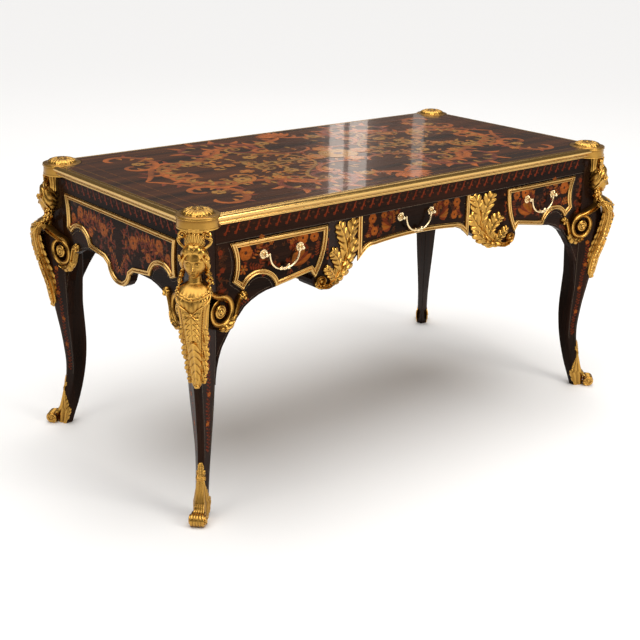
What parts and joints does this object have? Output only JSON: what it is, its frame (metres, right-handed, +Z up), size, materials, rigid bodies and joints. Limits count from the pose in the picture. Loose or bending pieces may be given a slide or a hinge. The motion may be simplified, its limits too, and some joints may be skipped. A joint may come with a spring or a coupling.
{
  "type": "writing table",
  "caption": "Flat-topped writing table on cabriole legs, with an inlaid top in a metal edge, frieze drawers with bail handles, cast corner busts, scrolls, leaf mounts and foot shoes.",
  "frame": {"origin": "on the floor, under the middle of the top", "axes": "+X along the table's length, drawers on the -Y side, +Z up"},
  "size_m": [1.6054, 0.8584, 0.8156],
  "materials": {
    "marquetry_top": "polished marquetry",
    "rosewood": "polished dark veneer",
    "gilt_bronze": "chased and gilt casting",
    "drawer_wood": "plain waxed wood"
  },
  "bodies": {
    "table": {"top_panel": "marquetry_top", "top_moulding_front": "gilt_bronze", "top_moulding_back": "gilt_bronze", "top_moulding_left": "gilt_bronze", "top_moulding_right": "gilt_bronze", "corner_cap_front_left": "gilt_bronze", "leg_front_left": "rosewood", "sabot_front_left": "gilt_bronze", "espagnolette_front_left": "gilt_bronze", "leg_scrolls_front_left": "gilt_bronze", "corner_cap_front_right": "gilt_bronze", "leg_front_right": "rosewood", "sabot_front_right": "gilt_bronze", "espagnolette_front_right": "gilt_bronze", "leg_scrolls_front_right": "gilt_bronze", "corner_cap_back_left": "gilt_bronze", "leg_back_left": "rosewood", "sabot_back_left": "gilt_bronze", "espagnolette_back_left": "gilt_bronze", "leg_scrolls_back_left": "gilt_bronze", "corner_cap_back_right": "gilt_bronze", "leg_back_right": "rosewood", "sabot_back_right": "gilt_bronze", "espagnolette_back_right": "gilt_bronze", "leg_scrolls_back_right": "gilt_bronze", "knee_bracket_front_left": "rosewood", "pier_front_left": "rosewood", "end_panel_left": "rosewood", "end_frame_left": "gilt_bronze", "acanthus_front_left": "gilt_bronze", "knee_bracket_front_right": "rosewood", "pier_front_right": "rosewood", "end_panel_right": "rosewood", "end_frame_right": "gilt_bronze", "acanthus_front_right": "gilt_bronze", "acanthus_back": "gilt_bronze", "front_top_rail": "rosewood", "back_apron": "rosewood", "divider_boards": "drawer_wood", "drawer_runners": "drawer_wood", "back_frames": "gilt_bronze", "back_rosettes": "gilt_bronze"},
    "drawer_left": {"drawer_front_left": "rosewood", "drawer_box_left": "drawer_wood", "drawer_frame_left": "gilt_bronze", "handle_rosettes_left": "gilt_bronze"},
    "bail_left": {"handle_bail_left": "gilt_bronze"},
    "rear_bail_left": {"back_bail_left": "gilt_bronze"},
    "drawer_centre": {"drawer_front_centre": "rosewood", "drawer_box_centre": "drawer_wood", "drawer_frame_centre": "gilt_bronze", "handle_rosettes_centre": "gilt_bronze"},
    "bail_centre": {"handle_bail_centre": "gilt_bronze"},
    "rear_bail_centre": {"back_bail_centre": "gilt_bronze"},
    "drawer_right": {"drawer_front_right": "rosewood", "drawer_box_right": "drawer_wood", "drawer_frame_right": "gilt_bronze", "handle_rosettes_right": "gilt_bronze"},
    "bail_right": {"handle_bail_right": "gilt_bronze"},
    "rear_bail_right": {"back_bail_right": "gilt_bronze"}
  },
  "joints": [
    {"name": "drawer_slide_left", "type": "slide", "parent": "table", "child": "drawer_left", "axis": [0, -1, 0], "range_m": [0, 0.32]},
    {"name": "drawer_slide_centre", "type": "slide", "parent": "table", "child": "drawer_centre", "axis": [0, -1, 0], "range_m": [0, 0.32]},
    {"name": "drawer_slide_right", "type": "slide", "parent": "table", "child": "drawer_right", "axis": [0, -1, 0], "range_m": [0, 0.32]},
    {"name": "bail_hinge_left", "type": "hinge", "parent": "drawer_left", "child": "bail_left", "pos_m": [-0.487, -0.383, 0.675], "axis": [-1, 0, 0], "range_deg": [0, 90]},
    {"name": "rear_bail_hinge_left", "type": "hinge", "parent": "table", "child": "rear_bail_left", "pos_m": [-0.487, 0.383, 0.675], "axis": [1, 0, 0], "range_deg": [0, 90]},
    {"name": "bail_hinge_centre", "type": "hinge", "parent": "drawer_centre", "child": "bail_centre", "pos_m": [0, -0.355, 0.69], "axis": [-1, 0, 0], "range_deg": [0, 90]},
    {"name": "rear_bail_hinge_centre", "type": "hinge", "parent": "table", "child": "rear_bail_centre", "pos_m": [0, 0.355, 0.69], "axis": [1, 0, 0], "range_deg": [0, 90]},
    {"name": "bail_hinge_right", "type": "hinge", "parent": "drawer_right", "child": "bail_right", "pos_m": [0.487, -0.383, 0.675], "axis": [-1, 0, 0], "range_deg": [0, 90]},
    {"name": "rear_bail_hinge_right", "type": "hinge", "parent": "table", "child": "rear_bail_right", "pos_m": [0.487, 0.383, 0.675], "axis": [1, 0, 0], "range_deg": [0, 90]}
  ]
}
